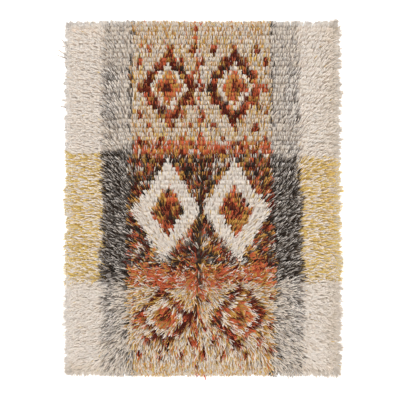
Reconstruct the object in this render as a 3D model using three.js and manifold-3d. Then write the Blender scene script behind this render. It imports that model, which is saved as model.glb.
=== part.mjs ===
// A hand-knotted shag rug lying flat, pile side up.
// Millimetres, +Z up. The origin is at the middle of the underside, on the floor. +Y is the far end.
// The rug is one piece: a woven ground with rows of knotted wool, so it is one flat-bottomed solid.
// Its top rises and falls with the knot rows, and locks of pile lie out over its rim.

import * as THREE from "three";
import Module from "manifold-3d";

// Driving dimensions
const rugWidth = 1300; // over the tips of the longest locks
const rugLength = 1680;
const pileHeight = 27; // floor to the top of the laid pile
const rimHeight = 14; // floor to the top of the last knots
const rimRun = 48; // how far in from the edge the pile reaches its full height
const cornerInset = 7; // how far a corner is worn back
const lockReach = 33; // the longest lock, from the last knots to its tip

// Knot rows
const knotRows = 78; // across the width, one above the other
const ridgeHeight = 3.2; // a row's crest over its mean
const ridgeUneven = { near: 1.1, far: 0.6 }; // how much one crest differs from the next
const furrowDepth = 2.4; // the line between two rows, under the mean
const crestShift = 0.25; // a crest lies this share of a row towards the end the pile is combed to
const combTurn = 170; // half the length over which the combing turns round, at the middle
const rowWaver = 2.2; // a row strays this far from straight
const waverSpan = 190; // across the rug, for one radian of that

// Columns of points across the rug, as distances in from each side, then even spaces between
const sideColumns = [0, 15, rimRun];
const middleColumns = 11;

// Broad lumps in the laid pile: height, length across, length along, start
const lumps = [
  { height: 1.5, across: 430, along: 520, start: 0.4 },
  { height: 1.2, across: 310, along: -230, start: 2.1 },
  { height: 1.0, across: -250, along: 110, start: 4.0 },
];

// Locks of pile over the rim
const lockPitch = 23; // from one lock to the next, along the edge
const lockRoot = 15; // how far inside the edge a lock starts
const lockWidth = { least: 22, most: 30 };
const lockHeight = { least: 14, most: 17.5 };
const lockShare = { least: 0.6, most: 1 }; // of lockReach
const lockShoulder = { along: 0.5, width: 0.72, height: 0.55 }; // the bend between root and tip
const lockCurl = 8; // how far a tip strays sideways
const lockTurn = 0.3; // how far a lock turns from its neighbours, in radians
const cornerTurn = Math.PI / 4; // locks fan out round a corner

const halfWidth = rugWidth / 2 - lockReach;
const halfLength = rugLength / 2 - lockReach;
const rowPitch = (2 * halfLength) / knotRows;

// The same unevenness on every run
function makeRandom(seed) {
  let state = seed;
  return () => {
    state = (state * 1664525 + 1013904223) >>> 0;
    return state / 4294967296;
  };
}
const random = makeRandom(2417);
const between = ({ least, most }) => least + (most - least) * random();
const eitherWay = (size) => size * (2 * random() - 1);

// How far a height has risen at this distance in from the edge: a quarter wave, from 0 to 1
function rise(inFromEdge) {
  const share = Math.min(Math.max(inFromEdge / rimRun, 0), 1);
  return Math.sin((Math.PI / 2) * share);
}

function lumpAt(x, y) {
  return lumps.reduce(
    (sum, { height, across, along, start }) =>
      sum + height * Math.sin((2 * Math.PI * x) / across + (2 * Math.PI * y) / along + start),
    0,
  );
}

// Corners are worn back smoothly over the last rimRun of a side
function cornerWear(alongEdge, halfEdge) {
  const near = Math.max(0, (Math.abs(alongEdge) - halfEdge + rimRun) / rimRun);
  return cornerInset * near * near;
}

// Distances across the rug of one line of points, from the left side to the right
function columnPlaces() {
  const inner = 2 * (halfWidth - rimRun);
  const left = sideColumns.map((inset) => inset - halfWidth);
  const middle = [];
  for (let column = 1; column < middleColumns; column += 1) {
    middle.push(rimRun - halfWidth + (inner * column) / middleColumns);
  }
  const right = sideColumns.map((inset) => halfWidth - inset).reverse();
  return [...left, ...middle, ...right];
}

// Lines of points along the rug: a furrow, a crest, a furrow and so on
function linePlaces() {
  const lines = [];
  for (let row = 0; row < knotRows; row += 1) {
    const start = row * rowPitch - halfLength;
    const middle = start + rowPitch / 2;
    const combed = Math.tanh(middle / combTurn);
    lines.push({ y: start, crest: false });
    lines.push({ y: middle + crestShift * rowPitch * combed, crest: true });
  }
  lines.push({ y: halfLength, crest: false });
  return lines;
}

// The slab: its top is the grid of columns and lines, with a wall down to a flat underside
function makeSlab() {
  const columns = columnPlaces();
  const lines = linePlaces();
  const positions = [];
  const faces = [];
  const at = (column, line) => line * columns.length + column;

  lines.forEach(({ y, crest }) => {
    const phase = 2 * Math.PI * random();
    const uneven = y < 0 ? ridgeUneven.near : ridgeUneven.far;
    columns.forEach((x) => {
      const waver = rowWaver * Math.sin(x / waverSpan + phase) * rise(halfLength - Math.abs(y));
      const wornX = x * (1 - cornerWear(y, halfLength) / halfWidth);
      const wornY = (y + waver) * (1 - cornerWear(x, halfWidth) / halfLength);
      const risen = rise(Math.min(halfWidth - Math.abs(x), halfLength - Math.abs(y)));
      const ridge = crest ? ridgeHeight + eitherWay(uneven) : -furrowDepth;
      const height = rimHeight + (pileHeight - rimHeight - ridgeHeight) * risen;
      positions.push([wornX, wornY, height + (ridge + lumpAt(x, y)) * risen]);
    });
  });

  for (let line = 0; line + 1 < lines.length; line += 1) {
    for (let column = 0; column + 1 < columns.length; column += 1) {
      const corner = at(column, line);
      const opposite = at(column + 1, line + 1);
      faces.push([corner, at(column + 1, line), opposite]);
      faces.push([corner, opposite, at(column, line + 1)]);
    }
  }

  const rim = [];
  for (let column = 0; column < columns.length; column += 1) rim.push(at(column, 0));
  for (let line = 1; line < lines.length; line += 1) rim.push(at(columns.length - 1, line));
  for (let column = columns.length - 2; column >= 0; column -= 1) rim.push(at(column, lines.length - 1));
  for (let line = lines.length - 2; line > 0; line -= 1) rim.push(at(0, line));

  const floor = positions.length;
  rim.forEach((corner) => positions.push([positions[corner][0], positions[corner][1], 0]));
  rim.forEach((corner, index) => {
    const next = (index + 1) % rim.length;
    faces.push([floor + index, floor + next, rim[next]]);
    faces.push([floor + index, rim[next], corner]);
  });
  const outline = rim.map((corner) => new THREE.Vector2(positions[corner][0], positions[corner][1]));
  THREE.ShapeUtils.triangulateShape(outline, []).forEach(([a, b, c]) => {
    faces.push([floor + a, floor + c, floor + b]);
  });
  return { positions, faces };
}

// One lock: a three-sided lock of pile, flat on the floor, from its root past a bend to a point
function makeLock(x, y, angle) {
  const width = between(lockWidth);
  const height = between(lockHeight);
  const reach = lockReach * between(lockShare);
  const curl = eitherWay(lockCurl);
  const forward = [Math.cos(angle), Math.sin(angle)];
  const aside = [-forward[1], forward[0]];
  const point = (along, across, up) => [
    x + forward[0] * along + aside[0] * across,
    y + forward[1] * along + aside[1] * across,
    up,
  ];
  const bend = reach * lockShoulder.along;
  const bentCurl = curl * lockShoulder.along;
  const bentHalf = (width * lockShoulder.width) / 2;
  const positions = [
    point(-lockRoot, width / 2, 0),
    point(-lockRoot, -width / 2, 0),
    point(-lockRoot, 0, height),
    point(bend, bentCurl + bentHalf, 0),
    point(bend, bentCurl - bentHalf, 0),
    point(bend, bentCurl, height * lockShoulder.height),
    point(reach, curl, 0),
  ];
  const faces = [
    [0, 1, 2],
    [0, 3, 4],
    [0, 4, 1],
    [0, 2, 5],
    [0, 5, 3],
    [1, 4, 5],
    [1, 5, 2],
    [3, 6, 4],
    [3, 5, 6],
    [4, 6, 5],
  ];
  return { positions, faces };
}

// Locks along one side, which runs from -half to +half. outward is the way its locks point, and
// place turns a distance along the side into a point on its edge.
function makeSideOfLocks(half, outward, fanSign, place) {
  const count = Math.round((2 * half) / lockPitch);
  const locks = [];
  for (let index = 0; index <= count; index += 1) {
    const share = (2 * index) / count - 1;
    const jitter = Math.abs(share) < 1 ? eitherWay(lockPitch / 4) : 0;
    const fan = fanSign * cornerTurn * (0.15 * share + 0.85 * share ** 5);
    const [x, y] = place(share * half + jitter);
    locks.push(makeLock(x, y, outward + fan + eitherWay(lockTurn) * (1 - Math.abs(share) ** 5)));
  }
  return locks;
}

function makeLocks() {
  const edgeX = (y) => halfWidth - cornerWear(y, halfLength);
  const edgeY = (x) => halfLength - cornerWear(x, halfWidth);
  const endHalf = halfWidth - lockPitch / 2;
  const sideHalf = halfLength - lockPitch / 2;
  return [
    ...makeSideOfLocks(sideHalf, 0, 1, (y) => [edgeX(y), y]),
    ...makeSideOfLocks(sideHalf, Math.PI, -1, (y) => [-edgeX(y), y]),
    ...makeSideOfLocks(endHalf, Math.PI / 2, -1, (x) => [x, edgeY(x)]),
    ...makeSideOfLocks(endHalf, -Math.PI / 2, 1, (x) => [x, -edgeY(x)]),
  ];
}

const wasm = await Module();
wasm.setup();

function toSolid({ positions, faces }) {
  const mesh = new wasm.Mesh({
    numProp: 3,
    vertProperties: new Float32Array(positions.flat()),
    triVerts: new Uint32Array(faces.flat()),
  });
  return new wasm.Manifold(mesh);
}

function toGeometry(solid) {
  const { vertProperties, triVerts } = solid.getMesh();
  const geometry = new THREE.BufferGeometry();
  geometry.setAttribute("position", new THREE.BufferAttribute(new Float32Array(vertProperties), 3));
  geometry.setIndex(new THREE.BufferAttribute(new Uint32Array(triVerts), 1));
  geometry.computeBoundingBox();
  const middle = geometry.boundingBox.getCenter(new THREE.Vector3());
  geometry.translate(-middle.x, -middle.y, 0);
  geometry.computeVertexNormals();
  return geometry;
}

const slab = toSolid(makeSlab());
const fused = makeLocks().reduce((whole, lock) => whole.add(toSolid(lock)), slab);
const wool = new THREE.MeshStandardMaterial({ color: 0xd6c8b8, roughness: 0.95, metalness: 0 });
const rug = new THREE.Mesh(toGeometry(fused), wool);
rug.name = "rug";

const part = new THREE.Group();
part.add(rug);

export default part;
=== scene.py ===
"""A hand-knotted shag rug lying on a pale floor, pile side up.

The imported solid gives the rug's size and place. A thin woven ground takes that place, with rows
of wool knotted into it, and every yarn end is a tapered tube that lies over as the pile does.
"""

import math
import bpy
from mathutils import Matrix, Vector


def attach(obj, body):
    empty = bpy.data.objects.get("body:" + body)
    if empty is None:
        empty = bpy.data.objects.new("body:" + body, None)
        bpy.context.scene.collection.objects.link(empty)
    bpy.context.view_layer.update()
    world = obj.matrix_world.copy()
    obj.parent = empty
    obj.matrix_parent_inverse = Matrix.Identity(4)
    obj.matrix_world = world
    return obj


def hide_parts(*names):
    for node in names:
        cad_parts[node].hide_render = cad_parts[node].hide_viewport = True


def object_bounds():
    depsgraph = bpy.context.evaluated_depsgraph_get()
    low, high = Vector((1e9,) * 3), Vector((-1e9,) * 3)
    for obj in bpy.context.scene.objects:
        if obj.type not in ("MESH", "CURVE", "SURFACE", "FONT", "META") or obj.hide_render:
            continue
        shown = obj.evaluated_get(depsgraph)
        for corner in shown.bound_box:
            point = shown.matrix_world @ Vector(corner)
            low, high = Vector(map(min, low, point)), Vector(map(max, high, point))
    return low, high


bl_info = {
    "name": "Hand-Knotted Shag Rug",
    "version": (1, 0, 0),
    "blender": (4, 5, 0),
    "location": "View3D > Sidebar > Rug",
    "description": "Knots a long wool pile into a woven ground and lights it from above",
    "category": "Object",
}

import bpy
import numpy as np
from bpy.props import FloatProperty, FloatVectorProperty, IntProperty, PointerProperty
from mathutils import Vector

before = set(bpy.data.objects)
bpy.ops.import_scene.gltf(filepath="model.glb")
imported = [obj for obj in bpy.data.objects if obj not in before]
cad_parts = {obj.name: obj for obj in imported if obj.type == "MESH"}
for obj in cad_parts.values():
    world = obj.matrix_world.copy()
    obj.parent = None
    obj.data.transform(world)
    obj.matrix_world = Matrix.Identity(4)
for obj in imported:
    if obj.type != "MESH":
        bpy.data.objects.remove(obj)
CAD_LOW, CAD_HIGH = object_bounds()

BODY = "root"
SOLID = "rug"
MM = 0.001

# The solid's last knots lie this far inside its box, which is drawn over the tips of its locks
LOCK_REACH = 33 * MM
HALF_WIDTH = (CAD_HIGH.x - CAD_LOW.x) / 2 - LOCK_REACH
HALF_LENGTH = (CAD_HIGH.y - CAD_LOW.y) / 2 - LOCK_REACH

# The design, in metres. It is laid out round the parting, which is a little left of the middle.
# Distances across run out from there, and places along the rug run from its middle to the far
# end. Where the two sides differ, the left one comes first.
DESIGN_MIDDLE = -12 * MM
# Outside the panel is a grey column on each side, and outside that a cream one
PANEL_EDGES = (318 * MM, 331 * MM)
COLUMN_EDGES = (442 * MM, 460 * MM)
EDGE_STRAY = 7 * MM  # how far the edges stray in a row
BORDER_WIDTH = 11 * MM
BORDER_ROWS = 0.7  # the share of the rows in which the panel's border shows
# A yellow block lies in each cream column, and a charcoal one in each grey column
BLOCK_NEAR = -390 * MM
BLOCK_FAR = (217 * MM, 188 * MM)
DARK_BLOCK_FAR = (218 * MM, 178 * MM)
# The panel has a stripe on either side of its dark ground, and a seam along the parting
STRIPE_FAR = (178 * MM, 250 * MM)
STRIPE_NEAR = (-405 * MM, -335 * MM)
SEAM_HALF = 9 * MM
# Deeper grey along the outer edge of the grey columns: the spans on the left and on the right
DEEP_GREY_WIDTH = 58 * MM
DEEP_GREY = (
    ((323 * MM, 610 * MM), (-670 * MM, -390 * MM)),
    ((178 * MM, 240 * MM), (323 * MM, 610 * MM), (-670 * MM, -390 * MM)),
)

# Each line of lozenges: its middle, and half the width and height of a lozenge
LOZENGE_LINES = (
    (500 * MM, 140 * MM, 180 * MM),
    (-78 * MM, 152 * MM, 236 * MM),
    (-543 * MM, 136 * MM, 140 * MM),
)
LOZENGE_MIDDLE = 6 * MM
LOZENGE_ASIDE = 155 * MM  # from there to the middle of a lozenge on either side
# Rings of a lozenge, from its middle out: the zone, and the share of the way out where it ends
LIGHT_RINGS = (("core", 0.18), ("heart", 0.48), ("ring", 0.66), ("outline", 1.0))
DARK_RINGS = (("core", 0.2), ("dark_heart", 0.52), ("pale_ring", 1.02))
# Flecks, across and along, and how far from the middle they go
FLECK_PITCH = (99 * MM, 120 * MM)
FLECK_SIZE = (24 * MM, 34 * MM)
FLECKS_TO = 715 * MM

# The parting: how far it runs left of the design's middle, its waves as (size, length of one
# radian, start), half its width where it is open, and where that is
PARTING_SHIFT = 6 * MM
PARTING_WAVES = ((11 * MM, 260 * MM, 1.2), (4 * MM, 70 * MM, 0.0))
PARTING_HALF = 1.5 * MM
PARTING_OPEN = (-420 * MM, 200 * MM)

# Knots: how far one strays along its row, as a share of the way to the next, and off its row.
# Round the rim they stray along it by a share too, with more knots spread about each corner.
KNOT_STRAY = 0.2
KNOT_OFF_ROW = 0.8 * MM
ROW_WAVER = 2.2 * MM
WAVER_SPAN = 190 * MM  # across the rug, for one radian of a row's waver
SIDE_INSET = 4 * MM
RIM_INSET = 5 * MM
RIM_STRAY = 0.35
CORNER_KNOTS = 16
CORNER_SPREAD = 22 * MM

# The lay of the pile. The ends stand steep where they have no lean. A fade is the place where
# something starts and the place where it is full.
COLUMN_FADE = (280 * MM, 380 * MM)
OUTER_FADE = (420 * MM, 500 * MM)
# It turns from far to near this far below the middle, and further down out from the parting
TURN_OF_PANEL = 350 * MM
TURN_ASIDE = (70 * MM, 140 * MM)
TURN_ASIDE_FADE = (0, 250 * MM)
TURN_SPAN = 200 * MM
TURN_LEAN = 0.8
LEAN_A_METRE = 0.4
# How the outer columns lean lengthways, by their place along the rug
OUTER_PLACES = (-0.84, -0.6, -0.48, -0.35, 0.0, 0.84)
OUTER_LEANS = (-0.9, -0.6, -0.3, 0.0, 0.1, 0.92)
# Over the middle of the rug the pile fans out sideways. The fan starts at the rug's middle beside
# the parting, and up to FAN_START further to the far end away from it. It ends at FAN_END, and
# further to the near end in the columns. Both edges are soft over a length.
FAN_START = 250 * MM
FAN_START_FADE = (100 * MM, 350 * MM)
FAN_START_SOFT = 350 * MM
FAN_END = -720 * MM
FAN_END_IN_COLUMNS = (80 * MM, 200 * MM)
FAN_END_SOFT = 120 * MM
FAN_END_SOFTER_IN_COLUMNS = 100 * MM
FAN_LEAN = 1.27
FAN_REACH = 420 * MM  # how far out from the parting the fan's lean is FAN_LEAN
FAN_POWER = 0.7
# Past the fan it leans sideways by a power of the distance out: the lean at a distance, and the
# power
END_LEANS = ((1.0, 410 * MM, 8), (0.5, 500 * MM, 3))
MOST_END_LEAN = 3.0
# Beside the parting it leans a little more, and this wears off over a width
BESIDE_LEAN = 0.35
BESIDE_WIDTH = 20 * MM
BESIDE_FAR_FADE = (250 * MM, 150 * MM)
BESIDE_NEAR_FADE = (-600 * MM, -500 * MM)
# Over the last stretch to the rim it leans out, to the ends and to the sides
RIM_STRETCH = 40 * MM
RIM_LEAN_END = 4.0
RIM_LEAN_SIDE = (-4.0, 2.0)
# How far over the ends lie with no lean, as a share, and the lean from which they lie right over
STANDING = 0.45
FULL_LEAN = 0.6

# Where the pile is loose, and how much tidier it is again at the near end
LOOSE_FADE = (-80 * MM, -380 * MM)
TIDY_FADE = (-620 * MM, -720 * MM)
TIDY_AGAIN = 0.7
# The last rows at the near end are combed out long, so that they hide one another
COMBED_FADE = (-640 * MM, -700 * MM)
COMBED_STRAY = 10 * MM
COMBED_LONGER = 0.35

# How the ends of a knot differ. Deviations of turn, length, height and curl are standard ones.
HALF_KNOT = 4.6 * MM
LEAST_SPREAD = 0.15  # the share of the knot spread that is left where the pile lies lengthways
TURN_DEVIATION = math.radians(5)  # of a knot, and again of each end
SWAY_TURN = math.radians(9)
SWAY_SPAN = 160 * MM
PANEL_TURN_HALF = 70 * MM  # how near its turn the panel's ends turn aside more
LENGTH_DEVIATION = 0.035  # of a knot, and again of each end
KNOT_HEIGHT_DEVIATION = 0.5 * MM
END_HEIGHT_DEVIATION = 0.6 * MM
CURL_DEVIATION = 0.1
WIDTHS = (0.75, 1.15)
CREAM_WIDTH = 1.1
OTHER_WIDTH = 0.96
LESS_WIDTH_AT_RIM = 0.1
REACH_LIMITS = (12 * MM, 60 * MM)
# How far an end draws in to the middle of its knot, as a share of its offset
DRAW_IN = 0.4
MORE_DRAW_AT_RIM = 0.5
DRAW_ALONG_AT_RIM = 0.9
# How much more or less ends turn aside, as a share, by where they are
MORE_TURN_AT_RIM = 2.2
MORE_TURN_IN_TURN = 2.0
MORE_TURN_LOOSE = 1.2
MORE_TURN_STANDING = 3.0
LESS_TURN_IN_ROWS = 0.3
LESS_SWAY_AT_RIM = 0.6
# How much more or less uneven in length they are
MORE_UNEVEN_LOOSE = 2.0
MORE_UNEVEN_AT_SIDES = 4.0
MORE_UNEVEN_AT_ENDS = 1.0
LESS_UNEVEN_AT_CORNERS = 0.7
# How much longer they are, as a share, and how far tufts of them at the sides sway in length
LONGER_AT_SIDES = (0.02, 0.22)
LONGER_AT_ENDS = 0.05
LONGER_AT_CORNERS = 0.12
TUFT_SWAY = (0.12, 0.25)
TUFT_SPAN = 50 * MM
# A sway is made of this many waves, whose lengths are between these shares of its span
SWAY_WAVES = 4
SWAY_LENGTHS = (0.75, 1.35)
# Short ends: their share, turn, reach, stray along the rug, and height
SHORT_ENDS = 0.12
SHORT_TURN = math.radians(28)
SHORT_REACH = 0.72
SHORT_STRAY = 5 * MM
SHORT_HEIGHT = 0.7
# Pale wool is a little darker, as painted shade, over the last stretch to the right side and to
# the near end
PAINTED_SHADE_SIDE = 110 * MM
PAINTED_SHADE_END = 60 * MM
PAINTED_SHADE_TONE = 0.6
# An end's tone goes from 0 for dark to 1 for light
TONE_MIDDLE = 0.5
TONE_DEVIATION = 0.22
ROW_TONE_DEVIATION = 0.1

# Threads that stray out past the rim: the yarn, where each starts, its angle and its length
STRAYS = (
    ("grey", -612 * MM, 694 * MM, math.radians(141), 88 * MM),
    ("grey", -612 * MM, 657 * MM, math.radians(153), 86 * MM),
    ("grey", -612 * MM, 651 * MM, math.radians(156), 84 * MM),
    ("grey", -612 * MM, 418 * MM, math.radians(157), 68 * MM),
    ("grey", -612 * MM, -262 * MM, math.radians(185), 56 * MM),
    ("rust", 0 * MM, -800 * MM, math.radians(-80), 62 * MM),
    ("grey", 397 * MM, -800 * MM, math.radians(-84), 56 * MM),
    ("grey", 412 * MM, -800 * MM, math.radians(-72), 58 * MM),
)
STRAY_THICKNESS = 1.7  # to that of the other ends

# Each yarn: how high it lies in the pile, as a share, how much its tone differs from end to end,
# how bright it is at the knot, as a share of its tip, which is painted shade deep in the pile, and
# its slot
YARNS = {
    "cream": (1.0, 0.25, 1.02, "cream_wool"),
    "sand": (1.0, 0.35, 0.7, "cream_wool"),
    "grey": (0.97, 0.5, 0.42, "grey_wool"),
    "slate": (0.97, 0.8, 0.5, "grey_wool"),
    "charcoal": (0.97, 1.0, 0.4, "charcoal_wool"),
    "straw": (0.96, 0.8, 0.8, "straw_wool"),
    "ochre": (0.95, 1.3, 0.6, "ochre_wool"),
    "rust": (0.97, 1.0, 0.6, "rust_wool"),
    "dark_red": (0.97, 1.0, 0.6, "dark_red_wool"),
}
YARN_NUMBERS = {yarn: number for number, yarn in enumerate(YARNS)}

# What share of the ends at a place is of each yarn
BLENDS = {
    "cream": {"cream": 0.995, "straw": 0.005},
    "yellow": {"straw": 0.62, "cream": 0.38},
    "grey": {"sand": 0.53, "grey": 0.42, "slate": 0.05},
    "near_grey": {"sand": 0.55, "grey": 0.26, "slate": 0.16, "charcoal": 0.03},
    "deep_grey": {"cream": 0.26, "grey": 0.52, "slate": 0.2, "charcoal": 0.02},
    "charcoal": {"charcoal": 0.5, "slate": 0.2, "grey": 0.28, "cream": 0.02},
    "light_ground": {
        "sand": 0.49,
        "ochre": 0.31,
        "straw": 0.12,
        "grey": 0.05,
        "rust": 0.01,
        "charcoal": 0.02,
    },
    "border": {"charcoal": 0.4, "slate": 0.25, "grey": 0.25, "sand": 0.1},
    "fleck": {"dark_red": 0.58, "rust": 0.32, "ochre": 0.1},
    "dark_ground": {
        "charcoal": 0.34,
        "slate": 0.1,
        "dark_red": 0.19,
        "ochre": 0.18,
        "rust": 0.12,
        "sand": 0.07,
    },
    "stripe": {"rust": 0.42, "ochre": 0.28, "sand": 0.16, "dark_red": 0.14},
    "outline": {"dark_red": 0.52, "charcoal": 0.16, "rust": 0.18, "ochre": 0.14},
    "ring": {"cream": 0.3, "sand": 0.45, "straw": 0.1, "ochre": 0.15},
    "heart": {"rust": 0.42, "ochre": 0.46, "dark_red": 0.12},
    "core": {"dark_red": 0.5, "charcoal": 0.3, "rust": 0.2},
    "pale_ring": {"cream": 0.9, "straw": 0.07, "grey": 0.03},
    "dark_heart": {"rust": 0.3, "ochre": 0.32, "charcoal": 0.2, "dark_red": 0.18},
}
ZONE_NUMBERS = {zone: number for number, zone in enumerate(BLENDS)}
# What share of the ends of two neighbouring knots take one yarn, where it isn't EVEN_CLUMP
CLUMPS = {
    "yellow": 0.0,
    "dark_ground": 0.55,
    "outline": 0.6,
    "heart": 0.5,
    "stripe": 0.5,
    "dark_heart": 0.7,
}
EVEN_CLUMP = 0.1

# Stations of a yarn end, from its knot to its tip: share of its reach, share of the pile's height
# and share of its thickness
STATIONS = (
    (0.0, 0.12, 0.85),
    (0.3, 0.56, 1.0),
    (0.9, 1.0, 0.95),
    (1.0, 0.98, 0.0),
)
SIDES = 3
YARN_SQUASH = (1.3, 0.9)  # across and up
PLY_LENGTH = 7 * MM  # one turn of the two plies
CELL_MARGIN = 0.1  # the share of a bake map's cell that is left free on each side
KNOT_HEIGHT = 3 * MM
LEAST_HEIGHT = 1.2 * MM
RIM_RUN = LOCK_REACH + 48 * MM  # from the tips at the rim in to the pile's full height
TIP_HEIGHT = 0.12  # the share of the full height at those tips
MOST_ENDS_A_PIECE = 12400  # of 16 triangles each

# The ground: columns of points across it, its height off the floor between its crests, and the
# waver of its sides with the length for one radian
GROUND_COLUMNS = 82
CREST_LIFT = 0.7 * MM
SIDE_WAVER = 1.5 * MM
SIDE_WAVER_SPAN = 50 * MM
WARP_PITCH = 3.4 * MM
WEFT_PITCH = 2 * MM
# The weave's shade is painted: the cloth is darker where the weave lies low
WEAVE_SHADE = 0.1  # how far the weave darkens the cloth
BACKS_SHOWN = 0.8  # how much of a knot's back hides the linen, on a crest
BACKS_PARTED = 0.12  # how much more or less it hides with the weave
# The ground's top is nearly hidden: how bright the wool's colour is there as painted shade, and as
# deeper painted shade in the parting
TOP_SHADE = 0.9
PARTING_SHADE = 0.12
PARTING_SHADE_HALF = 14 * MM
SHADE_TINT = (1.0, 0.94, 0.88)

# How much darker and lighter than its colour wool is at most, in red, green and blue, the tint of
# its painted shade at the knot, deep in the pile, and where along an end it has that painted shade
# still and where it has lost it
DARKER = (0.26, 0.32, 0.4)
LIGHTER = (0.12, 0.15, 0.2)
KNOT_SHADE_TINT = (1.0, 0.95, 0.88)
SHADE_FADE = (0.3, 0.8)
BRIGHTEST = 0.95
# Its fibres: their fineness, how much they brighten it over its least brightness, and how high
# they are beside the two plies
FIBRES_A_METRE = 420.0
FIBRE_SHADE = (0.16, 0.92)
FIBRE_BUMP = 0.8

# The way the lamp shines, the width of the picture on the rug, and the place under its middle
SHINES_TO = Vector((-0.25, 0.6, -1.0))
SEEN_WIDTH = 1.891
SEEN_MIDDLE = Vector((-11.8 * MM, -7.1 * MM, 0))
SENSOR_WIDTH = 36.0


class RugSizes(bpy.types.PropertyGroup):
    """Sizes of the rug's ground and pile."""

    knot_rows: IntProperty(
        name="Knot Rows", description="Rows of knots from end to end", default=78, min=4
    )
    knots_in_row: IntProperty(
        name="Knots in a Row", description="Knots from side to side", default=112, min=4
    )
    rim_knots: IntProperty(
        name="Rim Knots", description="More knots at even steps round the rim", default=870
    )
    ends_in_knot: IntProperty(
        name="Ends in a Knot", description="Yarn ends that stand up from one knot", default=6, min=1
    )
    reach_far: FloatProperty(
        name="Reach, Far End",
        description="How far a yarn end lies out from its knot at the tidy end",
        default=37 * MM,
        unit="LENGTH",
    )
    reach_near: FloatProperty(
        name="Reach, Near End",
        description="How far a yarn end lies out from its knot at the loose end",
        default=43 * MM,
        unit="LENGTH",
    )
    pile_height: FloatProperty(
        name="Pile Height",
        description="Floor to the crest of the laid pile",
        default=23 * MM,
        unit="LENGTH",
    )
    knot_spread: FloatProperty(
        name="Knot Spread",
        description="How far the ends of one knot stray along the rug",
        default=9 * MM,
        unit="LENGTH",
    )
    yarn_radius: FloatProperty(
        name="Yarn Radius",
        description="Half the thickness of a yarn end in its middle",
        default=1.5 * MM,
        unit="LENGTH",
    )
    ground_thickness: FloatProperty(
        name="Ground Thickness",
        description="Thickness of the woven ground",
        default=7 * MM,
        unit="LENGTH",
    )


class RugColours(bpy.types.PropertyGroup):
    """Colours of the yarns, as the wool itself is."""

    cream: FloatVectorProperty(
        name="Cream", description="Undyed pale wool", default=(0.775, 0.668, 0.575), subtype="COLOR"
    )
    sand: FloatVectorProperty(
        name="Sand", description="Darker undyed wool", default=(0.72, 0.603, 0.497), subtype="COLOR"
    )
    grey: FloatVectorProperty(
        name="Grey", description="Undyed grey wool", default=(0.48, 0.42, 0.37), subtype="COLOR"
    )
    slate: FloatVectorProperty(
        name="Slate", description="Dark grey wool", default=(0.15, 0.13, 0.115), subtype="COLOR"
    )
    charcoal: FloatVectorProperty(
        name="Charcoal", description="Dark wool", default=(0.024, 0.016, 0.011), subtype="COLOR"
    )
    straw: FloatVectorProperty(
        name="Straw", description="Pale yellow wool", default=(0.70, 0.465, 0.135), subtype="COLOR"
    )
    ochre: FloatVectorProperty(
        name="Ochre", description="Brown-gold wool", default=(0.58, 0.285, 0.06), subtype="COLOR"
    )
    rust: FloatVectorProperty(
        name="Rust", description="Red-brown wool", default=(0.60, 0.105, 0.04), subtype="COLOR"
    )
    dark_red: FloatVectorProperty(
        name="Dark Red",
        description="Deep brown-red wool",
        default=(0.085, 0.011, 0.006),
        subtype="COLOR",
    )
    linen: FloatVectorProperty(
        name="Linen",
        description="Thread of the woven ground",
        default=(0.50, 0.42, 0.33),
        subtype="COLOR",
    )
    floor: FloatVectorProperty(
        name="Floor", description="Pale studio floor", default=(0.93, 0.93, 0.93), subtype="COLOR"
    )


class RugStage(bpy.types.PropertyGroup):
    """Floor, light and camera."""

    floor_size: FloatProperty(
        name="Floor Size", description="Side of the square floor", default=14.0, unit="LENGTH"
    )
    sky_strength: FloatProperty(
        name="Sky Strength", description="Even light from all round", default=1.55, min=0.0
    )
    lamp_power: FloatProperty(
        name="Lamp Power", description="Strength of the soft lamp overhead", default=1.0, min=0.0
    )
    lamp_softness: FloatProperty(
        name="Lamp Softness",
        description="Angle over which the lamp's light spreads",
        default=math.radians(40),
        subtype="ANGLE",
    )
    camera_height: FloatProperty(
        name="Camera Height", description="Floor to the camera", default=12.0, unit="LENGTH"
    )


def smooth_step(share):
    """0 up to 0, 1 from 1 on, and 3 t^2 - 2 t^3 between them."""
    share = np.clip(share, 0.0, 1.0)
    return share * share * (3 - 2 * share)


def fade(place, start_and_full):
    """A smooth step from 0 at the first of two places to 1 at the second."""
    start, full = start_and_full
    return smooth_step((place - start) / (full - start))


def within(y, span):
    """Whether y lies inside a span, which is its near end and its far end."""
    near, far = span
    return (y > near) & (y < far)


def sway(x, y, length, seed):
    """A smooth unevenness from -1 to 1: the mean of a few sine waves across (x, y).

    Their directions are spread round a half turn, and their lengths are near the given one.
    """
    random = np.random.default_rng(seed)
    total = np.zeros_like(x)
    for wave in range(SWAY_WAVES):
        angle = math.pi * (wave + random.uniform(0, 1)) / SWAY_WAVES
        number = math.tau / (length * random.uniform(*SWAY_LENGTHS))
        phase = random.uniform(0, math.tau)
        total += np.sin(number * (x * math.cos(angle) + y * math.sin(angle)) + phase)
    return total / SWAY_WAVES


def parting_at(y):
    """Where the parting of the pile crosses the line at y: two slow sine waves about a line."""
    waves = [size * np.sin(y / length + start) for size, length, start in PARTING_WAVES]
    return DESIGN_MIDDLE - PARTING_SHIFT + sum(waves)


def near_rim(x, y):
    """How near (x, y) is to the sides and to the ends: two shares, each 1 at the last knots."""
    to_side = smooth_step(1 - (HALF_WIDTH - np.abs(x)) / RIM_STRETCH)
    to_end = smooth_step(1 - (HALF_LENGTH - np.abs(y)) / RIM_STRETCH)
    return to_side, to_end


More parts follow.
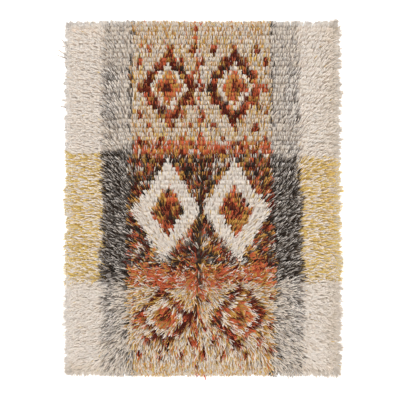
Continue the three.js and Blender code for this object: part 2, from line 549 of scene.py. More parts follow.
def lean_sideways(x, y):
    """How much the pile leans across the rug at (x, y), away from the parting.

    In the fan over the rug's middle the lean is a power of the distance from the parting. Past
    the fan it is a steeper power, so that only the columns lean, and more on the left. Beside
    the parting it is a little more, by e to the power of minus the distance in BESIDE_WIDTH.
    """
    out = x - parting_at(y)
    distance = np.abs(out)
    column = fade(distance, COLUMN_FADE)
    start = FAN_START * fade(distance, FAN_START_FADE)
    end = FAN_END - np.where(out < 0, *FAN_END_IN_COLUMNS) * column
    end_soft = FAN_END_SOFT + FAN_END_SOFTER_IN_COLUMNS * column
    fan = smooth_step((start - y) / FAN_START_SOFT) * smooth_step((y - end) / end_soft)
    in_fan = FAN_LEAN * (distance / FAN_REACH) ** FAN_POWER
    left, right = (lean * (distance / reach) ** power for lean, reach, power in END_LEANS)
    at_ends = np.minimum(np.where(out < 0, left, right), MOST_END_LEAN)
    beside = BESIDE_LEAN * np.exp(-distance / BESIDE_WIDTH)
    beside *= fade(y, BESIDE_FAR_FADE) * fade(y, BESIDE_NEAR_FADE)
    return np.sign(out) * ((1 - fan) * at_ends + fan * in_fan + beside)


def lean_lengthways(x, y):
    """How much the pile leans to the far end at (x, y), and to the near end where it is below 0.

    From the parting out it turns round as a hyperbolic tangent of the place along the rug, plus
    a slow slope. The outer columns follow the table of OUTER_LEANS instead.
    """
    out = x - parting_at(y)
    distance = np.abs(out)
    aside = np.where(out < 0, *TURN_ASIDE) * fade(distance, TURN_ASIDE_FADE)
    past_turn = y + TURN_OF_PANEL + aside
    inner = TURN_LEAN * np.tanh(past_turn / TURN_SPAN) + LEAN_A_METRE * past_turn
    outer = fade(distance, OUTER_FADE)
    return inner * (1 - outer) + np.interp(y, OUTER_PLACES, OUTER_LEANS) * outer


def lay_of_pile(x, y):
    """How the pile lies at (x, y): its direction as an angle, and how far over it lies, up to 1.

    Its direction is that of its two leans, with a strong lean out at the rim. How far over it
    lies grows as a smooth step of their length, so that it stands up where it turns round.
    """
    to_side, to_end = near_rim(x, y)
    lengthways = lean_lengthways(x, y) + RIM_LEAN_END * np.sign(y) * to_end
    sideways = lean_sideways(x, y) + np.where(x < 0, *RIM_LEAN_SIDE) * to_side
    full = smooth_step(np.hypot(lengthways, sideways) / FULL_LEAN)
    return np.arctan2(lengthways, sideways), STANDING + (1 - STANDING) * full


def height_share(x, y):
    """How much of its full height the pile has at (x, y), from TIP_HEIGHT at the rim's tips to 1.

    It rises as a quarter wave over the distance in from the nearest edge, measured so that
    corners are round.
    """
    in_x = np.clip((HALF_WIDTH + LOCK_REACH - np.abs(x)) / RIM_RUN, 0, 1)
    in_y = np.clip((HALF_LENGTH + LOCK_REACH - np.abs(y)) / RIM_RUN, 0, 1)
    inside = np.clip(1 - np.hypot(1 - in_x, 1 - in_y), 0, 1)
    return TIP_HEIGHT + (1 - TIP_HEIGHT) * np.sin(inside * math.pi / 2)


def panel_zones(x, y):
    """The zone number of every place (x, y) by the design of the panel.

    The flecks stand in lines half a pitch apart, and every second line is shifted by half a
    pitch. Two lozenges stand in each of their lines, as far out on both sides, and their rings
    end at equal shares of |across| / half-width + |along| / half-height.
    """
    out = x - DESIGN_MIDDLE
    pitch_across, pitch_along = FLECK_PITCH
    line = np.floor(2 * y / pitch_along)
    fleck_across = (out / pitch_across + 0.5 * (line % 2)) % 1 * pitch_across
    fleck_along = (2 * y / pitch_along - line) * pitch_along / 2
    flecks = (fleck_across < FLECK_SIZE[0]) & (fleck_along < FLECK_SIZE[1])
    flecks &= np.abs(y) < FLECKS_TO
    zone = np.where(flecks, ZONE_NUMBERS["fleck"], ZONE_NUMBERS["light_ground"])
    dark = within(y, (STRIPE_NEAR[1], STRIPE_FAR[0]))
    zone[dark] = ZONE_NUMBERS["dark_ground"]
    zone[within(y, STRIPE_FAR) | within(y, STRIPE_NEAR)] = ZONE_NUMBERS["stripe"]
    zone[(np.abs(x - parting_at(y)) < SEAM_HALF) & ~dark] = ZONE_NUMBERS["stripe"]

    across = np.abs(np.abs(out - LOZENGE_MIDDLE) - LOZENGE_ASIDE)
    shares = [
        across / half_width + np.abs(y - middle) / half_height
        for middle, half_width, half_height in LOZENGE_LINES
    ]
    from_middle = np.min(shares, axis=0)
    for rings, place in ((LIGHT_RINGS, ~dark), (DARK_RINGS, dark)):
        for name, end in reversed(rings):
            zone[place & (from_middle < end)] = ZONE_NUMBERS[name]
    return zone


def zones_at(x, y, row, random):
    """The zone number of every knot at (x, y): columns and blocks by their edges, and the panel.

    The edges stray from row to row, and the panel has a border in some of the rows.
    """
    rows = row.max() + 1
    stray = EDGE_STRAY * random.uniform(-1, 1, (rows, 4))
    out = x - DESIGN_MIDDLE
    side = (out > 0).astype(int)
    panel_edge = np.array(PANEL_EDGES)[side] + stray[row, side]
    column_edge = np.array(COLUMN_EDGES)[side] + stray[row, side + 2]
    outside = np.abs(out) > column_edge

    zone = np.where(y > BLOCK_NEAR, ZONE_NUMBERS["grey"], ZONE_NUMBERS["near_grey"])
    along_edge = np.abs(out) > column_edge - DEEP_GREY_WIDTH
    for number, spans in enumerate(DEEP_GREY):
        for span in spans:
            zone[(side == number) & along_edge & within(y, span)] = ZONE_NUMBERS["deep_grey"]
    bordered = (random.random(rows) < BORDER_ROWS)[row]
    zone[(np.abs(out) < panel_edge + BORDER_WIDTH) & bordered] = ZONE_NUMBERS["border"]
    zone[within(y, (BLOCK_NEAR, np.array(DARK_BLOCK_FAR)[side]))] = ZONE_NUMBERS["charcoal"]
    zone[outside] = ZONE_NUMBERS["cream"]
    block = within(y, (BLOCK_NEAR, np.array(BLOCK_FAR)[side]))
    zone[outside & block] = ZONE_NUMBERS["yellow"]
    return np.where(np.abs(out) < panel_edge, panel_zones(x, y), zone)


def knots_of_rim(count, random):
    """Places of the knots round the rim: at even steps along a rectangle, each a little astray.

    More knots are spread about each corner, with a normal deviation along the rectangle.
    """
    half = np.array([HALF_WIDTH - RIM_INSET, HALF_LENGTH - RIM_INSET])
    corners = half * np.array([(-1, -1), (1, -1), (1, 1), (-1, 1), (-1, -1)])
    lengths = np.abs(np.diff(corners, axis=0)).sum(axis=1)
    reached = np.concatenate([[0], np.cumsum(lengths)])
    steps = np.arange(count) + random.uniform(-RIM_STRAY, RIM_STRAY, count)
    about_corners = np.repeat(reached[1:], CORNER_KNOTS)
    about_corners = about_corners + random.normal(0, CORNER_SPREAD, about_corners.size)
    along = np.concatenate([steps * reached[-1] / count, about_corners]) % reached[-1]
    return [np.interp(along, reached, corners[:, axis]) for axis in (0, 1)]


def knot_places(sizes):
    """Place, row and column of every knot.

    The knots are at even steps on even rows, each a little astray, and a row wavers as a sine
    wave. More knots go round the rim. None are left in the parting where it is open.
    """
    random = np.random.default_rng(2417)
    rows, columns = sizes.knot_rows, sizes.knots_in_row
    row = np.repeat(np.arange(rows), columns)
    column = np.tile(np.arange(columns), rows)
    stray = random.uniform(-KNOT_STRAY, KNOT_STRAY, row.size)
    x = (2 * (column + 0.5 + stray) / columns - 1) * (HALF_WIDTH - SIDE_INSET)
    pitch = 2 * HALF_LENGTH / rows
    phase = random.uniform(0, math.tau, rows)
    waver = ROW_WAVER * np.sin(x / WAVER_SPAN + phase[row])
    off_row = random.uniform(-KNOT_OFF_ROW, KNOT_OFF_ROW, row.size)
    y = (row + 0.5) * pitch - HALF_LENGTH + waver + off_row

    rim_x, rim_y = knots_of_rim(sizes.rim_knots, random)
    rim_row = ((rim_y + HALF_LENGTH) / pitch).astype(int)
    rim_column = ((rim_x / HALF_WIDTH + 1) * columns / 2).astype(int)
    x, y = np.append(x, rim_x), np.append(y, rim_y)
    row, column = np.append(row, rim_row), np.append(column, rim_column)
    kept = (np.abs(x - parting_at(y)) > PARTING_HALF) | ~within(y, PARTING_OPEN)
    return x[kept], y[kept], row[kept], column[kept]


def yarn_by_chance(zone, chance):
    """The yarn number at each place: the yarn whose part of the zone's blend the chance falls in.

    A blend's parts are laid end to end from 0 to 1 in the order of YARNS.
    """
    shares = np.array([[blend.get(yarn, 0.0) for yarn in YARNS] for blend in BLENDS.values()])
    limits = np.cumsum(shares, axis=1)[zone]
    return (chance[:, None] > limits[:, :-1]).sum(axis=1)


def mixed_yarns(zone, pair, random):
    """The yarn number of every end, from its zone and the pair of neighbouring knots it is in.

    An end takes its pair's chance as often as CLUMPS says, and otherwise a chance of its own.
    """
    clump = np.array([CLUMPS.get(name, EVEN_CLUMP) for name in BLENDS])[zone]
    of_pair = random.random(pair.max() + 1)[pair]
    chance = np.where(random.random(zone.size) < clump, of_pair, random.random(zone.size))
    return yarn_by_chance(zone, chance)


def painted_shade_share(x, y):
    """Painted shade on pale wool at (x, y): a smooth step towards the right side and the near end.
    """
    at_side = smooth_step(1 - (HALF_WIDTH - x) / PAINTED_SHADE_SIDE)
    at_end = smooth_step(1 - (HALF_LENGTH + y) / PAINTED_SHADE_END)
    return np.maximum(at_side, at_end)


def looseness(y):
    """How loose the pile is at y, up to 1: more towards the near end, and less in its last rows."""
    return fade(y, LOOSE_FADE) * (1 - TIDY_AGAIN * fade(y, TIDY_FADE))


def combed_share(x, y):
    """How far the pile at (x, y) is combed out long: up to 1 at the near end, and 0 at the rim."""
    return fade(y, COMBED_FADE) * (1 - np.maximum(*near_rim(x, y)))


def turn_of_ends(x, y, knot_turn, loose, in_row, random):
    """How far every end turns aside from the lay of the pile, by its knot's turn and its own.

    Both are normal deviations. They grow where the pile is loose, stands up or lies out at the
    rim, and in the panel where the pile turns round. A slow sway over the whole rug is added.
    """
    to_side, to_end = near_rim(x, y)
    at_rim = np.maximum(to_side, to_end)
    over = lay_of_pile(x, y)[1]
    in_panel = np.abs(x - DESIGN_MIDDLE) < PANEL_EDGES[0]
    in_turn = np.exp(-(((y + TURN_OF_PANEL) / PANEL_TURN_HALF) ** 2)) * in_panel
    turn = knot_turn * (1 + MORE_TURN_AT_RIM * at_rim * (1 - to_side * to_end))
    turn += random.normal(0, TURN_DEVIATION, x.size)
    turn *= (1 + MORE_TURN_IN_TURN * in_turn) * (1 + MORE_TURN_LOOSE * loose)
    turn *= (1 + MORE_TURN_STANDING * (1 - over)) * (1 - LESS_TURN_IN_ROWS * in_row)
    calmer = 1 - LESS_SWAY_AT_RIM * at_rim
    return turn + SWAY_TURN * sway(x, y, SWAY_SPAN, 31) * calmer


def reach_of_ends(x, y, knot_length, loose, sizes, random):
    """How far every end reaches out from its knot, by its knot's length and its own.

    Both are normal deviations, and grow at the rim and where the pile is loose. An end reaches
    less where it stands up, and further at the rim and where it is combed. At the sides the
    length also sways, which makes tufts.
    """
    to_side, to_end = near_rim(x, y)
    corner = to_side * to_end
    over = lay_of_pile(x, y)[1]
    reach = sizes.reach_far * (1 - loose) + sizes.reach_near * loose
    uneven = 1 + MORE_UNEVEN_AT_ENDS * to_end + MORE_UNEVEN_AT_SIDES * to_side
    reach *= 1 + knot_length * uneven * (1 - LESS_UNEVEN_AT_CORNERS * corner)
    reach *= 1 + random.normal(0, LENGTH_DEVIATION, x.size) * (1 + MORE_UNEVEN_LOOSE * loose)
    tufts = np.where(x < 0, *TUFT_SWAY) * to_side * (1 - corner)
    longer = tufts * sway(x, y, TUFT_SPAN, 53)
    longer += np.where(x < 0, *LONGER_AT_SIDES) * to_side + LONGER_AT_ENDS * to_end
    combed = combed_share(x, y)
    reach *= over * (1 + longer + LONGER_AT_CORNERS * corner + COMBED_LONGER * combed)
    return reach


def yarn_ends(sizes):
    """Every yarn end of the pile, as a dict of arrays with one entry for each end.

    The ends of a knot share a turn away from the lay of the pile, and draw together towards
    their tips, so that the pile parts between knots.
    """
    random = np.random.default_rng(905)
    x, y, row, column = knot_places(sizes)
    zone = zones_at(x, y, row, random)
    knot_turn = random.normal(0, TURN_DEVIATION, x.size)
    knot_length = random.normal(0, LENGTH_DEVIATION, x.size)
    knot_height = random.normal(0, KNOT_HEIGHT_DEVIATION, x.size)

    knot = np.repeat(np.arange(x.size), sizes.ends_in_knot)
    count = knot.size
    loose = looseness(y[knot])
    offset = random.uniform(-HALF_KNOT, HALF_KNOT, count)
    root_x = x[knot] + offset
    in_row = np.cos(lay_of_pile(x[knot], y[knot])[0]) ** 2
    spread = sizes.knot_spread * (LEAST_SPREAD + (1 - LEAST_SPREAD) * in_row)
    root_y = y[knot] + random.uniform(-1, 1, count) * spread

    at_rim = np.maximum(*near_rim(root_x, root_y))
    angle, _ = lay_of_pile(root_x, root_y)
    turn = turn_of_ends(root_x, root_y, knot_turn[knot], loose, in_row, random)
    reach = reach_of_ends(root_x, root_y, knot_length[knot], loose, sizes, random)
    combed = combed_share(root_x, root_y)
    root_y += combed * random.uniform(-COMBED_STRAY, COMBED_STRAY, count)

    # Some ends are short and lie lower, out of line, and fill the furrows
    short = random.random(count) < SHORT_ENDS
    turn += np.where(short, random.normal(0, SHORT_TURN, count), 0)
    reach *= np.where(short, SHORT_REACH, 1.0)
    root_y += np.where(short, random.normal(0, SHORT_STRAY, count), 0)

    pair = (row * sizes.knots_in_row + column) // 2
    yarn = mixed_yarns(zone[knot], pair[knot], random)
    # Painted shade towards the right side and the near end: cream ends turn to sand there
    painted_rim_shade = painted_shade_share(root_x, root_y)
    cream, sand = YARN_NUMBERS["cream"], YARN_NUMBERS["sand"]
    yarn[(yarn == cream) & (random.random(count) < painted_rim_shade)] = sand
    row_tone = random.normal(TONE_MIDDLE, ROW_TONE_DEVIATION, sizes.knot_rows)[row[knot]]
    width = random.uniform(*WIDTHS, count) * np.where(yarn == cream, CREAM_WIDTH, OTHER_WIDTH)
    lift = knot_height[knot] + random.normal(0, END_HEIGHT_DEVIATION, count)
    curl = random.normal(0, CURL_DEVIATION, count)
    spin = random.uniform(0, math.tau, count)
    tone = row_tone + random.normal(0, TONE_DEVIATION, count)
    # Painted shade: sand ends are darker towards the right side and the near end
    tone -= PAINTED_SHADE_TONE * painted_rim_shade * (yarn == sand)
    lie = np.array([values[0] for values in YARNS.values()])[yarn]
    return {
        "x": root_x,
        "y": root_y,
        "angle": angle + turn,
        "reach": np.clip(reach, *REACH_LIMITS),
        "draw_x": -offset * (DRAW_IN + MORE_DRAW_AT_RIM * at_rim),
        "draw_y": (y[knot] - root_y) * DRAW_ALONG_AT_RIM * at_rim,
        "lift": lift * (1 + loose),
        "height": np.where(short, SHORT_HEIGHT, 1.0) * lie,
        "curl": curl * (1 + loose),
        "thickness": sizes.yarn_radius * width * (1 - LESS_WIDTH_AT_RIM * at_rim),
        "spin": spin,
        "tone": np.clip(tone, 0, 1),
        "yarn": yarn,
    }


def lay_strays(ends, sizes):
    """Make a long straying thread of the end that is rooted nearest to each start in STRAYS."""
    for name, start_x, start_y, angle, length in STRAYS:
        stray = np.argmin(np.hypot(ends["x"] - start_x, ends["y"] - start_y))
        ends["angle"][stray] = angle
        ends["reach"][stray] = length
        ends["yarn"][stray] = YARN_NUMBERS[name]
        ends["thickness"][stray] = STRAY_THICKNESS * sizes.yarn_radius


def yarn_lines(ends, pile_height):
    """Centre line of every yarn end, as an array of ends by stations by (x, y, z).

    A station lies out from the knot by its share of the reach, bent aside by curl times the
    square of that share, and its height is its share of the pile's height where it lies.
    """
    share = np.array([station[0] for station in STATIONS])
    rise = np.array([station[1] for station in STATIONS])
    out = ends["reach"][:, None] * share
    aside = (ends["reach"] * ends["curl"])[:, None] * share**2
    cos, sin = np.cos(ends["angle"])[:, None], np.sin(ends["angle"])[:, None]
    x = ends["x"][:, None] + out * cos - aside * sin + ends["draw_x"][:, None] * share
    y = ends["y"][:, None] + out * sin + aside * cos + ends["draw_y"][:, None] * share
    full = (pile_height + ends["lift"]) * ends["height"]
    height = rise * full[:, None] * height_share(x, y)
    height[:, 0] = KNOT_HEIGHT
    return np.stack([x, y, np.maximum(height, LEAST_HEIGHT)], axis=2)


def unit(vectors):
    """Vectors of length 1, along the last axis."""
    return vectors / np.linalg.norm(vectors, axis=-1, keepdims=True)


def tube_points(lines, thickness, spin):
    """Points of one tapered tube for each centre line: rings of SIDES points, then the tip.

    A ring lies square to the line. Its points are at equal turns on an ellipse, whose half sizes
    are thickness times YARN_SQUASH, the wide way across and the flat way up. None is under the
    floor.
    """
    rings = len(STATIONS) - 1
    tangent = np.empty_like(lines[:, :rings])
    tangent[:, 0] = unit(lines[:, 1] - lines[:, 0])
    tangent[:, 1:] = unit(lines[:, 2:] - lines[:, : rings - 1])
    side = unit(np.cross([0.0, 0.0, 1.0], tangent))
    normal = np.cross(side, tangent)
    taper = np.array([station[2] for station in STATIONS[:rings]])
    radius = (thickness[:, None] * taper)[:, :, None, None]
    angle = spin[:, None] + math.tau * np.arange(SIDES) / SIDES
    cos, sin = np.cos(angle)[:, None, :, None], np.sin(angle)[:, None, :, None]
    wide, flat = YARN_SQUASH
    around = wide * sin * side[:, :, None] + flat * cos * normal[:, :, None]
    ring_points = lines[:, :rings, None] + radius * around
    ring_points[..., 2] = np.maximum(ring_points[..., 2], 0)
    return np.concatenate([ring_points.reshape(len(lines), -1, 3), lines[:, -1:]], axis=1)


def tube_faces():
    """Faces of one tube, and for each corner its place round and along the yarn, from 0 to 1.

    Four-sided faces join each ring to the next, three-sided ones join the last to the tip, and
    one face closes the knot's end.
    """
    rings = len(STATIONS) - 1
    along = [station[0] for station in STATIONS]
    faces = []
    places = []
    for ring in range(rings - 1):
        for side in range(SIDES):
            after = (side + 1) % SIDES
            low, high = ring * SIDES, (ring + 1) * SIDES
            faces.append((low + side, low + after, high + after, high + side))
            left, right = side / SIDES, (side + 1) / SIDES
            places += [(left, along[ring]), (right, along[ring])]
            places += [(right, along[ring + 1]), (left, along[ring + 1])]
    last, tip = (rings - 1) * SIDES, rings * SIDES
    for side in range(SIDES):
        faces.append((last + side, last + (side + 1) % SIDES, tip))
        places += [(side / SIDES, along[-2]), ((side + 1) / SIDES, along[-2])]
        places.append(((side + 0.5) / SIDES, along[-1]))
    # The face at the knot is mapped to a sliver at the foot
    faces.append(tuple(reversed(range(SIDES))))
    places += [(0.9, 0.0), (0.5, 0.04), (0.1, 0.0)]
    return faces, np.array(places)


def new_mesh(name, points, corners, face_sizes):
    """A mesh object at the origin, from arrays of points, face corners and face sizes."""
    mesh = bpy.data.meshes.new(name)
    mesh.vertices.add(len(points))
    mesh.vertices.foreach_set("co", points.astype(np.float32).ravel())
    mesh.loops.add(len(corners))
    mesh.loops.foreach_set("vertex_index", corners.astype(np.int32))
    mesh.polygons.add(len(face_sizes))
    starts = np.concatenate([[0], np.cumsum(face_sizes)[:-1]])
    mesh.polygons.foreach_set("loop_start", starts.astype(np.int32))
    mesh.update(calc_edges=True)
    mesh.validate()
    mesh.shade_smooth()
    piece = bpy.data.objects.new(name, mesh)
    bpy.context.scene.collection.objects.link(piece)
    return piece


def add_uv(piece, name, places):
    """Give a piece a map: a place (u, v) for each face corner."""
    layer = piece.data.uv_layers.new(name=name)
    layer.data.foreach_set("uv", places.astype(np.float32).ravel())


def add_value(piece, name, values):
    """Give a piece a named value at each of its points."""
    attribute = piece.data.attributes.new(name, "FLOAT", "POINT")
    attribute.data.foreach_set("value", values.astype(np.float32).ravel())


def yarn_piece(name, ends, lines):
    """One mesh of many yarn ends, with a cell of its own in the bake map for each end.

    The square root of twice the count, rounded up, gives the cells in a row, so each is about
    twice as high as it is wide.
    """
    count = len(lines)
    points = tube_points(lines, ends["thickness"], ends["spin"])
    faces, places = tube_faces()
    of_one = np.concatenate([np.array(face) for face in faces])
    corners = (np.arange(count)[:, None] * points.shape[1] + of_one).ravel()
    face_sizes = np.tile([len(face) for face in faces], count)
    piece = new_mesh(name, points.reshape(-1, 3), corners, face_sizes)

    columns = math.ceil(math.sqrt(2 * count))
    rows = math.ceil(count / columns)
    cell = np.stack([np.arange(count) % columns, np.arange(count) // columns], axis=1)
    inside = CELL_MARGIN + (1 - 2 * CELL_MARGIN) * places
    add_uv(piece, "OFBake", (cell[:, None] + inside) / [columns, rows])
    around = np.tile(places[:, 0], (count, 1))
    length = places[:, 1] * ends["reach"][:, None]
    add_uv(piece, "Yarn", np.stack([around, length], axis=2))

    along = np.repeat([station[0] for station in STATIONS[:-1]], SIDES)
    add_value(piece, "along", np.tile(np.append(along, 1.0), count))
    add_value(piece, "tone", np.repeat(ends["tone"], points.shape[1]))
    return piece


def new_material(name):
    """A material of this name, with its node tree and its shader."""
    material = bpy.data.materials.new(name)
    material.use_nodes = True
    tree = material.node_tree
    return material, tree, tree.nodes["Principled BSDF"]


def set_inputs(made, values):
    """Set a node's inputs, by name."""
    for name, value in values.items():
        made.inputs[name].default_value = value


def fill(tree, socket, value):
    """Link an output to a socket, or set the socket to a number or a colour."""
    if isinstance(value, bpy.types.NodeSocket):
        tree.links.new(value, socket)
    elif isinstance(value, (int, float)):
        socket.default_value = value
    else:
        socket.default_value = (*value, 1.0)


def maths(tree, kind, *values):
    """A Math node of this kind. Each value is a number or an output."""
    made = tree.nodes.new("ShaderNodeMath")
    made.operation = kind
    for socket, value in zip(made.inputs, values):
        fill(tree, socket, value)
    return made.outputs[0]


def colour_mix(tree, share, first, second, blend="MIX"):
    """A colour mix. share, first and second are each a value or an output."""
    made = tree.nodes.new("ShaderNodeMix")
    made.data_type = "RGBA"
    made.blend_type = blend
    for number, value in ((0, share), (6, first), (7, second)):
        fill(tree, made.inputs[number], value)
    return made.outputs[2]


def shaded(tree, colour, brightness):
    """A colour times a brightness."""
    grey = tree.nodes.new("ShaderNodeCombineColor")
    for socket in grey.inputs[:3]:
        tree.links.new(brightness, socket)
    return colour_mix(tree, 1.0, colour, grey.outputs[0], "MULTIPLY")


def bump(tree, shader, height, strength, distance):
    """Bump a shader's surface by a height."""
    made = tree.nodes.new("ShaderNodeBump")
    set_inputs(made, {"Strength": strength, "Distance": distance})
    tree.links.new(height, made.inputs["Height"])
    tree.links.new(made.outputs[0], shader.inputs["Normal"])


def named_value(tree, name):
    """A node that reads a named value of the piece."""
    made = tree.nodes.new("ShaderNodeAttribute")
    made.attribute_name = name
    return made


def place_parts(tree, place):
    """The three parts of a place, by the names X, Y and Z."""
    made = tree.nodes.new("ShaderNodeSeparateXYZ")
    tree.links.new(place, made.inputs[0])
    return made.outputs


def sine_wave(tree, place, length):
    """A sine wave along a place, one turn for each length."""
    return maths(tree, "SINE", maths(tree, "MULTIPLY", place, math.tau / length))


def scaled(colour, factors):
    """A colour with each channel times its factor, kept under BRIGHTEST."""
    return tuple(min(BRIGHTEST, channel * factor) for channel, factor in zip(colour, factors))


def wool(name, colour, spread, painted_knot_shade):
    """Loose two-ply wool: its tone differs from end to end, with painted shade towards the knot.

    The two plies are a wave along and round the yarn, which the bump follows, and a fine noise
    breaks up the fibres.
    """
    material, tree, shader = new_material(name)
    dark = scaled(colour, [1 - less * spread for less in DARKER])
    light = scaled(colour, [1 + more * spread for more in LIGHTER])
    body = colour_mix(tree, named_value(tree, "tone").outputs["Fac"], dark, light)

    fibre = tree.nodes.new("ShaderNodeTexNoise")
    set_inputs(fibre, {"Scale": FIBRES_A_METRE, "Detail": 2.0})
    place = tree.nodes.new("ShaderNodeTexCoord").outputs["Object"]
    tree.links.new(place, fibre.inputs["Vector"])
    brightness = maths(tree, "MULTIPLY_ADD", fibre.outputs["Fac"], *FIBRE_SHADE)
    mottled = shaded(tree, body, brightness)

    # Painted shade deep in the pile: towards the knot the colour goes over to a darker tint
    depth = tree.nodes.new("ShaderNodeMapRange")
    depth.interpolation_type = "SMOOTHSTEP"
    set_inputs(depth, {"From Min": SHADE_FADE[0], "From Max": SHADE_FADE[1]})
    tree.links.new(named_value(tree, "along").outputs["Fac"], depth.inputs["Value"])
    painted_at_knot = scaled(colour, [painted_knot_shade * tint for tint in KNOT_SHADE_TINT])
    finished = colour_mix(tree, depth.outputs[0], painted_at_knot, mottled)
    tree.links.new(finished, shader.inputs["Base Color"])

    yarn = tree.nodes.new("ShaderNodeUVMap")
    yarn.uv_map = "Yarn"
    parts = place_parts(tree, yarn.outputs[0])
    round_turns = maths(tree, "MULTIPLY", parts["X"], 2 * math.tau)
    along_turns = maths(tree, "MULTIPLY", parts["Y"], math.tau / PLY_LENGTH)
    plies = maths(tree, "SINE", maths(tree, "ADD", round_turns, along_turns))
    strands = maths(tree, "MULTIPLY_ADD", fibre.outputs["Fac"], FIBRE_BUMP, plies)
    bump(tree, shader, strands, strength=0.25, distance=0.5 * MM)
    finish = {
        "Roughness": 0.95,
        "Specular IOR Level": 0.15,
        "Subsurface Weight": 0.65,
        "Subsurface Radius": (1.0, 0.9, 0.8),
        "Subsurface Scale": 6 * MM,
        "Sheen Weight": 0.2,
        "Sheen Tint": (*colour, 1.0),
        "Sheen Roughness": 0.5,
    }
    set_inputs(shader, finish)
    return material


def dress(piece, material):
    """Give a piece its material, hang it on the body it rides on and hide the solid it replaces."""
    piece.data.materials.append(material)
    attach(piece, BODY)
    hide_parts(SOLID)


class RUG_OT_knot_pile(bpy.types.Operator):
    """Knot the wool pile, one piece for each yarn and more where it has too many ends"""

    bl_idname = "rug.knot_pile"
    bl_label = "Knot Pile"

    def execute(self, context):
        sizes, colours = context.scene.rug_sizes, context.scene.rug_colours
        ends = yarn_ends(sizes)
        lay_strays(ends, sizes)
        lines = yarn_lines(ends, sizes.pile_height)
        for yarn, (_, spread, painted_knot_shade, slot) in YARNS.items():
            material = wool(f"{yarn} wool", getattr(colours, yarn), spread, painted_knot_shade)
            chosen = np.flatnonzero(ends["yarn"] == YARN_NUMBERS[yarn])
            chosen = chosen[np.argsort(ends["x"][chosen], kind="stable")]
            groups = math.ceil(chosen.size / MOST_ENDS_A_PIECE)
            for group, members in enumerate(np.array_split(chosen, groups)):
                name = f"pile_{yarn}_{group + 1}" if groups > 1 else f"pile_{yarn}"
                own = {key: values[members] for key, values in ends.items()}
                dress(yarn_piece(name, own, lines[members]), material)
        return {"FINISHED"}


def ground_points(sizes):
    """The ground's underside and top, on the same grid of lines and columns.

    The underside has one crest for each row of knots, where it touches the floor, and between
    the crests it lies a little higher. The top is flat, and the sides waver as a sine wave.
    """
    lines = 2 * sizes.knot_rows + 1
    line_y = np.linspace(-HALF_LENGTH, HALF_LENGTH, lines)
    line_x = np.linspace(-HALF_WIDTH, HALF_WIDTH, GROUND_COLUMNS)
    y, x = np.meshgrid(line_y, line_x, indexing="ij")
    at_sides = np.abs(x) >= HALF_WIDTH - MM
    waver = SIDE_WAVER * np.sin(y / SIDE_WAVER_SPAN) * at_sides
    crest = (np.arange(lines) % 2 == 1)[:, None]
    lift = np.broadcast_to(np.where(crest, 0.0, CREST_LIFT), x.shape)
    under = np.stack([x + waver, y, lift], axis=2)
    over = np.stack([x + waver, y, np.full_like(x, sizes.ground_thickness)], axis=2)
    return under, over


def grid_faces(lines, columns):
    """Quads of a grid, each corner an index counted along the lines."""
    corner = (np.arange(lines - 1)[:, None] * columns + np.arange(columns - 1)).ravel()
    return np.stack([corner, corner + 1, corner + columns + 1, corner + columns], axis=1)


def rim_of(lines, columns):
    """Indices round the rim of a grid, counter-clockwise from its first corner."""
    index = np.arange(lines * columns).reshape(lines, columns)
    return np.concatenate([index[0, :-1], index[:-1, -1], index[-1, :0:-1], index[:0:-1, 0]])


def closed_sheet(name, under, over):
    """A closed mesh of an underside and a top on the same grid, with a wall round the rim."""
    lines, columns = under.shape[:2]
    quads = grid_faces(lines, columns)
    rim = rim_of(lines, columns)
    after = np.roll(rim, -1)
    half = lines * columns
    walls = np.stack([rim, after, after + half, rim + half], axis=1)
    corners = np.concatenate([quads[:, ::-1], quads + half, walls])
    points = np.concatenate([under.reshape(-1, 3), over.reshape(-1, 3)])
    return new_mesh(name, points, corners.ravel(), np.full(len(corners), 4))


def backs_of_knots(under, sizes, colours):
    """Colour of the knots' backs at each point of the underside, with how much of it shows.

    The knots show along the crest of each row, and the linen shows between the rows.
    """
    lines, columns = under.shape[:2]
    random = np.random.default_rng(77)
    line = np.repeat(np.arange(lines), columns)
    row = np.minimum(line // 2, sizes.knot_rows - 1)
    zone = zones_at(under[..., 0].ravel(), under[..., 1].ravel(), row, random)
    yarn = yarn_by_chance(zone, random.random(zone.size))
    wool_colours = np.array([tuple(getattr(colours, name)) for name in YARNS])
    shown = np.where(line % 2 == 1, BACKS_SHOWN, 0.0)
    return np.concatenate([wool_colours[yarn], shown[:, None]], axis=1)


def top_under_pile(backs, over):
    """Colour of each point of the top: the wool's in painted shade, deeper along the parting.

    No linen shows there.
    """
    aside = np.abs(over[..., 0] - parting_at(over[..., 1])).ravel()
    shade = np.where(aside < PARTING_SHADE_HALF, PARTING_SHADE, TOP_SHADE)[:, None]
    top = np.ones_like(backs)
    top[:, :3] = backs[:, :3] * shade * SHADE_TINT
    return top


def ground_weave(colours):
    """Plain weave of linen, with the backs of the knots in their own colours along each row.

    The weave is the product of two sine waves, one across the warp and one across the weft.
    """
    material, tree, shader = new_material("ground weave")
    place = place_parts(tree, tree.nodes.new("ShaderNodeTexCoord").outputs["Object"])
    warp = sine_wave(tree, place["X"], WARP_PITCH)
    weft = sine_wave(tree, place["Y"], WEFT_PITCH)
    weave = maths(tree, "MULTIPLY", warp, weft)
    knots = named_value(tree, "knots").outputs
    share = maths(tree, "MULTIPLY_ADD", weave, BACKS_PARTED, knots["Alpha"])
    cloth = colour_mix(tree, share, tuple(colours.linen), knots["Color"])
    # Painted shade: the cloth is darker where the weave lies low
    brightness = maths(tree, "MULTIPLY_ADD", weave, WEAVE_SHADE, 1 - WEAVE_SHADE)
    woven = shaded(tree, cloth, brightness)
    tree.links.new(woven, shader.inputs["Base Color"])
    bump(tree, shader, weave, strength=0.7, distance=0.4 * MM)
    set_inputs(shader, {"Roughness": 0.92, "Specular IOR Level": 0.2})
    return material


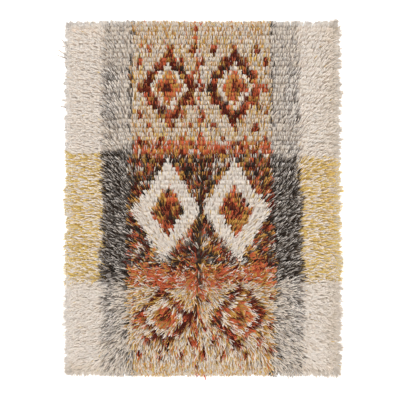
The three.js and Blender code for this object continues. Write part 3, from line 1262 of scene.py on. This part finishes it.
class RUG_OT_weave_ground(bpy.types.Operator):
    """Weave the ground that the pile is knotted into, as one thin closed sheet"""

    bl_idname = "rug.weave_ground"
    bl_label = "Weave Ground"

    def execute(self, context):
        sizes, colours = context.scene.rug_sizes, context.scene.rug_colours
        under, over = ground_points(sizes)
        ground = closed_sheet("ground", under, over)
        backs = backs_of_knots(under, sizes, colours)
        shown = np.concatenate([backs, top_under_pile(backs, over)])
        knots = ground.data.attributes.new("knots", "FLOAT_COLOR", "POINT")
        knots.data.foreach_set("color", shown.astype(np.float32).ravel())
        dress(ground, ground_weave(colours))
        return {"FINISHED"}


def floor_material(colour):
    """Matt floor of one colour."""
    material, _, shader = new_material("floor")
    finish = {"Base Color": (*colour, 1.0), "Roughness": 0.9, "Specular IOR Level": 0.1}
    set_inputs(shader, finish)
    return material


class RUG_OT_set_stage(bpy.types.Operator):
    """Lay the floor, light it softly and set the camera straight above the rug"""

    bl_idname = "rug.set_stage"
    bl_label = "Set Stage"

    def execute(self, context):
        stage, colours = context.scene.rug_stage, context.scene.rug_colours
        half = stage.floor_size / 2
        points = np.array([(-half, -half, 0), (half, -half, 0), (half, half, 0), (-half, half, 0)])
        floor = new_mesh("floor", points, np.arange(4), np.array([4]))
        floor.data.materials.append(floor_material(colours.floor))

        world = bpy.data.worlds.new("studio")
        world.use_nodes = True
        sky = {"Color": (1.0, 1.0, 1.0, 1.0), "Strength": stage.sky_strength}
        set_inputs(world.node_tree.nodes["Background"], sky)
        context.scene.world = world

        lamp = bpy.data.lights.new("lamp", "SUN")
        lamp.energy = stage.lamp_power
        lamp.angle = stage.lamp_softness
        lamp_object = bpy.data.objects.new("lamp", lamp)
        lamp_object.rotation_euler = SHINES_TO.to_track_quat("-Z", "Y").to_euler()
        context.scene.collection.objects.link(lamp_object)

        camera = bpy.data.cameras.new("camera")
        camera.sensor_width = SENSOR_WIDTH
        camera.lens = SENSOR_WIDTH * stage.camera_height / SEEN_WIDTH
        camera.clip_end = 100.0
        camera_object = bpy.data.objects.new("camera", camera)
        camera_object.location = SEEN_MIDDLE + Vector((0, 0, stage.camera_height))
        context.scene.collection.objects.link(camera_object)
        context.scene.camera = camera_object
        context.scene.view_settings.view_transform = "Standard"
        return {"FINISHED"}


class VIEW3D_PT_rug(bpy.types.Panel):
    """Sizes, colours and steps of the rug"""

    bl_idname = "VIEW3D_PT_rug"
    bl_label = "Shag Rug"
    bl_space_type = "VIEW_3D"
    bl_region_type = "UI"
    bl_category = "Rug"

    def draw(self, context):
        scene = context.scene
        for group in (scene.rug_sizes, scene.rug_colours, scene.rug_stage):
            box = self.layout.box()
            for name in group.__annotations__:
                box.prop(group, name)
        for operator in OPERATORS:
            self.layout.operator(operator.bl_idname)


OPERATORS = (RUG_OT_set_stage, RUG_OT_knot_pile, RUG_OT_weave_ground)
CLASSES = (RugSizes, RugColours, RugStage, *OPERATORS, VIEW3D_PT_rug)


def register():
    """Add the rug's classes and settings."""
    for cls in CLASSES:
        bpy.utils.register_class(cls)
    bpy.types.Scene.rug_sizes = PointerProperty(type=RugSizes)
    bpy.types.Scene.rug_colours = PointerProperty(type=RugColours)
    bpy.types.Scene.rug_stage = PointerProperty(type=RugStage)


def unregister():
    """Take the rug's settings and classes away again."""
    del bpy.types.Scene.rug_stage
    del bpy.types.Scene.rug_colours
    del bpy.types.Scene.rug_sizes
    for cls in reversed(CLASSES):
        bpy.utils.unregister_class(cls)


def main():
    """Build the stage, the pile and the ground."""
    register()
    bpy.ops.rug.set_stage()
    bpy.ops.rug.knot_pile()
    bpy.ops.rug.weave_ground()


if __name__ == "__main__":
    main()
